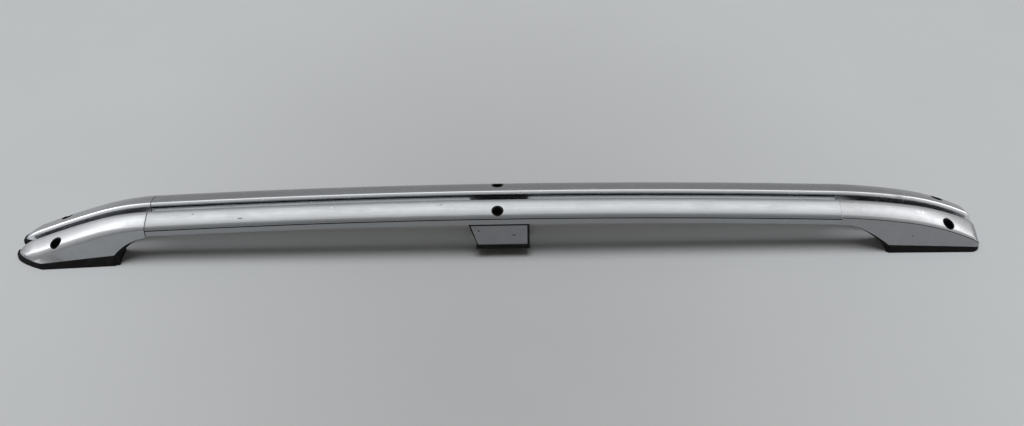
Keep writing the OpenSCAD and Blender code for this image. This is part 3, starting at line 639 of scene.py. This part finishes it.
def lining_mesh(name, arch, hand):
    """A closed bar of four sides through an arch's stations, on the side of the hand, -1 or 1"""
    corners, faces = [], []
    stations = lining_stations(arch)
    for share, top, low in stations:
        outer = hand * (arch.heel_outer + (arch.end_outer - arch.heel_outer) * share)
        inner = hand * (arch.heel_inner + (arch.end_inner - arch.heel_inner) * share)
        for place, y in ((top, outer), (low, outer), (low, inner), (top, inner)):
            corners.append((place.x, y, place.z))
    for first in range(0, len(corners) - 4, 4):
        for j in range(4):
            k = (j + 1) % 4
            faces.append((first + j, first + k, first + 4 + k, first + 4 + j))
    faces += [(3, 2, 1, 0), tuple(range(len(corners) - 4, len(corners)))]
    mesh = bpy.data.meshes.new(name)
    mesh.from_pydata(corners, [], faces)
    build = bmesh.new()
    build.from_mesh(mesh)
    bmesh.ops.recalc_face_normals(build, faces=build.faces)
    build.to_mesh(mesh)
    build.free()
    return mesh


# Stage

def floor_material(studio):
    """Pale paint in slight patches, with painted light: paler further out, and a painted shadow under the
    rails
    """
    material, tree, shader, position = start_material("floor_paint")
    patch = noise_node(tree, position, scale=3.0, detail=4.0, roughness=0.6)
    grain = noise_node(tree, position, scale=400.0, detail=3.0, roughness=0.6)
    grey = mix_greys(tree, patch, grain, share=0.3)
    unevenness = range_node(tree, grey, 0, 1, 1 - FLOOR_SPREAD, 1 + FLOOR_SPREAD)
    axes = split_axes(tree, position)
    side = math_node(tree, "ABSOLUTE", axes["X"])
    depth = math_node(
        tree, "MULTIPLY", math_node(tree, "ADD", axes["Y"], -FLOOR_MIDDLE_Y), FLOOR_DEPTH_SHARE)
    squares = (math_node(tree, "MULTIPLY", length, length) for length in (side, depth))
    away = range_node(tree, math_node(tree, "SQRT", math_node(tree, "ADD", *squares)), 0.0, FLOOR_FADE)
    plain = mix_colour(tree, away, tinted(studio.floor_colour), tinted(studio.floor_far_colour))
    beside = range_node(tree, math_node(tree, "ABSOLUTE", axes["Y"]), 0.0, SHADE_HALF_WIDTH)
    beyond = range_node(tree, side, *SHADE_ENDS)
    shade = range_node(tree, math_node(tree, "MAXIMUM", beside, beyond), 0, 1, SHADE_TONE, 1)
    tone = math_node(tree, "MULTIPLY", unevenness, shade)
    tree.links.new(vector_node(tree, "SCALE", plain, scale=tone), shader["Base Color"])
    shader["Roughness"].default_value = FLOOR_ROUGHNESS
    shader["Specular IOR Level"].default_value = FLOOR_GLOSS
    return material


def reflected_sky(tree):
    """The brightness of the sky in the silver: a bright band behind straight up, stronger at the sides"""
    axes = split_axes(tree, tree.nodes.new("ShaderNodeTexCoord").outputs["Generated"])
    lean = math_node(tree, "ARCTAN2", axes["Y"], axes["Z"])
    ramp = tree.nodes.new("ShaderNodeValToRGB")
    turn = math_node(tree, "MULTIPLY", lean, 0.5 / math.pi)
    tree.links.new(math_node(tree, "ADD", turn, 0.5), ramp.inputs[0])
    elements = ramp.color_ramp.elements
    while len(elements) < len(SKY_STOPS):
        elements.new(0.5)
    for element, (angle, brightness) in zip(elements, SKY_STOPS):
        grey = brightness / SKY_PEAK
        element.position = angle / 360 + 0.5
        element.color = (grey, grey, grey, 1)
    side = math_node(tree, "ABSOLUTE", axes["X"])
    gain = range_node(tree, side, *SKY_SIDES, SKY_PEAK, SKY_PEAK * SKY_SIDE_GAIN)
    return math_node(tree, "MULTIPLY", ramp.outputs[0], gain)


# Operators

class RAILS_OT_extrusions(bpy.types.Operator):
    """Anodised finish with lengthwise grain, dust and scuffs on the two extrusions, with a painted highlight
    along the far rail's inner edge and painted shade in the grooves
    """

    bl_idname = "rails.extrusions"
    bl_label = "Finish extrusions"

    def execute(self, context):
        look = context.scene.rail_finish
        shade_material = black_material("groove_painted_shade", GROOVE_PAINTED_SHADE_COLOUR, **PAINTED_SHADE_FINISH)
        for side, marks_and_painted_light in RAIL_MARKS_AND_HIGHLIGHT.items():
            silver = silver_material(
                f"{side}_anodised_silver", look.rail_colour, look.roughness, "drawn_grain", marks_and_painted_light)
            dress([f"{side}_rail"], silver, shade_material, groove_faces)
        return {"FINISHED"}


class RAILS_OT_end_feet(bpy.types.Operator):
    """Silver coat on the four end feet, with a painted highlight on the far feet's inner edges, and painted
    shade: a darker coat on the rear feet and black in their seams
    """

    bl_idname = "rails.end_feet"
    bl_label = "Finish end feet"

    def execute(self, context):
        look = context.scene.rail_finish
        silver = silver_material(
            "front_foot_silver_coat", look.front_foot_colour, look.roughness, "silver_flake",
            FRONT_FOOT_MARKS_AND_HIGHLIGHT, bump=0.1)
        dress(both("front_foot"), silver)
        silver = silver_material(
            "rear_foot_shaded_silver_coat", look.rear_foot_shaded_colour, look.roughness, "silver_flake",
            REAR_FOOT_MARKS_AND_HIGHLIGHT, bump=0.1)
        shade_material = black_material("seam_painted_shade", SEAM_PAINTED_SHADE_COLOUR, **PAINTED_SHADE_FINISH)
        dress(both("rear_foot"), silver, shade_material, seam_faces)
        return {"FINISHED"}


class RAILS_OT_middle_feet(bpy.types.Operator):
    """Silver coat on the middle covers, with a painted shade line under the rail, and black plastic on their
    supports
    """

    bl_idname = "rails.middle_feet"
    bl_label = "Finish middle feet"

    def execute(self, context):
        look = context.scene.rail_finish
        silver = silver_material(
            "cover_silver_coat", look.cover_colour, look.roughness + COVER_DULLNESS, "silver_flake",
            COVER_MARKS_AND_SHADE)
        dress(both("middle_cover"), silver)
        colour = context.scene.rail_rubber.sleeve_colour
        plastic = black_material("support_plastic", colour, **SUPPORT_FINISH)
        dress(both("middle_support"), plastic)
        return {"FINISHED"}


class RAILS_OT_pads(bpy.types.Operator):
    """Black rubber with dust on the six seating pads"""

    bl_idname = "rails.pads"
    bl_label = "Finish pads"

    def execute(self, context):
        rubber = black_material("pad_rubber_skin", context.scene.rail_rubber.pad_colour, **PAD_FINISH)
        dress(both("front_pad", "middle_pad", "rear_pad"), rubber)
        return {"FINISHED"}


class RAILS_OT_linings(bpy.types.Operator):
    """Thin black rubber under the arches of the end feet"""

    bl_idname = "rails.linings"
    bl_label = "Line the arches"

    def execute(self, context):
        rubber = black_material("lining_rubber", context.scene.rail_rubber.pad_colour, **LINING_FINISH)
        for side, hand in SIDES.items():
            for end, arch in ARCHES.items():
                name = f"{side}_{end}_lining"
                mesh = lining_mesh(name, arch, hand)
                mesh.materials.append(rubber)
                lining = bpy.data.objects.new(name, mesh)
                context.scene.collection.objects.link(lining)
                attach(lining, "root")
        return {"FINISHED"}


class RAILS_OT_sleeves(bpy.types.Operator):
    """Black plastic on the sleeves of the access holes"""

    bl_idname = "rails.sleeves"
    bl_label = "Finish sleeves"

    def execute(self, context):
        plastic = black_material("sleeve_plastic", context.scene.rail_rubber.sleeve_colour, **SLEEVE_FINISH)
        dress(both("front_sleeve", "middle_sleeve", "rear_sleeve"), plastic)
        return {"FINISHED"}


class RAILS_OT_fixings(bpy.types.Operator):
    """Plated steel on the bushes and screws"""

    bl_idname = "rails.fixings"
    bl_label = "Finish fixings"

    def execute(self, context):
        bush = plated_material("bush_plating", BUSH_COLOUR, BUSH_ROUGHNESS)
        dress(both("front_bush", "middle_bush", "rear_bush"), bush)
        screw = plated_material("screw_plating", SCREW_COLOUR, SCREW_ROUGHNESS)
        dress(both("front_joint_screws", "rear_joint_screws", "support_screws"), screw)
        return {"FINISHED"}


class RAILS_OT_stage(bpy.types.Operator):
    """Pale floor, soft light from above and a camera"""

    bl_idname = "rails.stage"
    bl_label = "Set the stage"

    def execute(self, context):
        scene = context.scene
        self.make_floor(scene)
        self.make_key(scene)
        self.make_sky(scene)
        self.make_camera(scene)
        scene.view_settings.view_transform = "Standard"
        return {"FINISHED"}

    def make_floor(self, scene):
        mesh = bpy.data.meshes.new("floor")
        low, high = -FLOOR_HALF, FLOOR_HALF
        mesh.from_pydata([(low, low, 0), (high, low, 0), (high, high, 0), (low, high, 0)], [], [(0, 1, 2, 3)])
        mesh.materials.append(floor_material(scene.rail_studio))
        floor = bpy.data.objects.new("floor", mesh)
        floor.location.z = -FLOOR_DROP
        scene.collection.objects.link(floor)

    def make_key(self, scene):
        studio = scene.rail_studio
        lamp = bpy.data.lights.new("key", "SUN")
        lamp.energy = studio.key_strength
        lamp.angle = studio.key_spread
        lamp.color = KEY_COLOUR
        key = bpy.data.objects.new("key", lamp)
        key.location = Vector((0, -math.sin(studio.key_lean), math.cos(studio.key_lean))) * KEY_DISTANCE
        key.rotation_euler.x = studio.key_lean
        key.visible_glossy = False
        scene.collection.objects.link(key)

    def make_sky(self, scene):
        world = bpy.data.worlds.new("studio_sky")
        world.use_nodes = True
        world.cycles.sampling_method = "NONE"
        tree = world.node_tree
        ray = tree.nodes.new("ShaderNodeLightPath").outputs
        backdrop = tinted(scene.rail_studio.floor_far_colour, BACKDROP_SHARE)
        plain = mix_colour(tree, ray["Is Camera Ray"], AMBIENT_COLOUR, backdrop)
        shown = mix_colour(tree, ray["Is Glossy Ray"], plain, reflected_sky(tree))
        tree.links.new(shown, tree.nodes["Background"].inputs["Color"])
        scene.world = world

    def make_camera(self, scene):
        studio = scene.rail_studio
        fall, roll = studio.camera_fall, studio.camera_roll
        forward = Vector((0, math.cos(fall), -math.sin(fall)))
        across = Vector((1, 0, 0))
        up = across.cross(forward)
        right = across * math.cos(roll) - up * math.sin(roll)
        top = across * math.sin(roll) + up * math.cos(roll)
        turn = Matrix((right, top, -forward)).transposed().to_4x4()
        data = bpy.data.cameras.new("camera")
        data.sensor_width = SENSOR_WIDTH
        data.lens = studio.lens
        data.clip_start, data.clip_end = CLIP_START, CLIP_END
        camera = bpy.data.objects.new("camera", data)
        camera.matrix_world = Matrix.Translation(studio.camera_place) @ turn
        scene.collection.objects.link(camera)
        scene.camera = camera


class RAILS_PT_panel(bpy.types.Panel):
    """Lists the steps that dress the rails"""

    bl_idname = "RAILS_PT_panel"
    bl_label = "Roof rails"
    bl_space_type = "VIEW_3D"
    bl_region_type = "UI"
    bl_category = "Roof rails"

    def draw(self, context):
        column = self.layout.column()
        for step in STEPS:
            column.operator(step.bl_idname)
        for name in SETTINGS:
            settings = getattr(context.scene, name)
            box = self.layout.box()
            for label in settings.__annotations__:
                box.prop(settings, label)


STEPS = (
    RAILS_OT_extrusions, RAILS_OT_end_feet, RAILS_OT_middle_feet, RAILS_OT_pads, RAILS_OT_linings,
    RAILS_OT_sleeves, RAILS_OT_fixings, RAILS_OT_stage,
)
SETTINGS = {
    "rail_finish": RailFinishSettings,
    "rail_rubber": RubberSettings,
    "rail_studio": StudioSettings,
}


def register():
    for name, settings in SETTINGS.items():
        bpy.utils.register_class(settings)
        setattr(bpy.types.Scene, name, bpy.props.PointerProperty(type=settings))
    for cls in (*STEPS, RAILS_PT_panel):
        bpy.utils.register_class(cls)


def unregister():
    for cls in reversed((*STEPS, RAILS_PT_panel)):
        bpy.utils.unregister_class(cls)
    for name, settings in reversed(SETTINGS.items()):
        delattr(bpy.types.Scene, name)
        bpy.utils.unregister_class(settings)


def main():
    register()
    bpy.ops.rails.extrusions()
    bpy.ops.rails.end_feet()
    bpy.ops.rails.middle_feet()
    bpy.ops.rails.pads()
    bpy.ops.rails.linings()
    bpy.ops.rails.sleeves()
    bpy.ops.rails.fixings()
    bpy.ops.rails.stage()


if __name__ == "__main__":
    main()
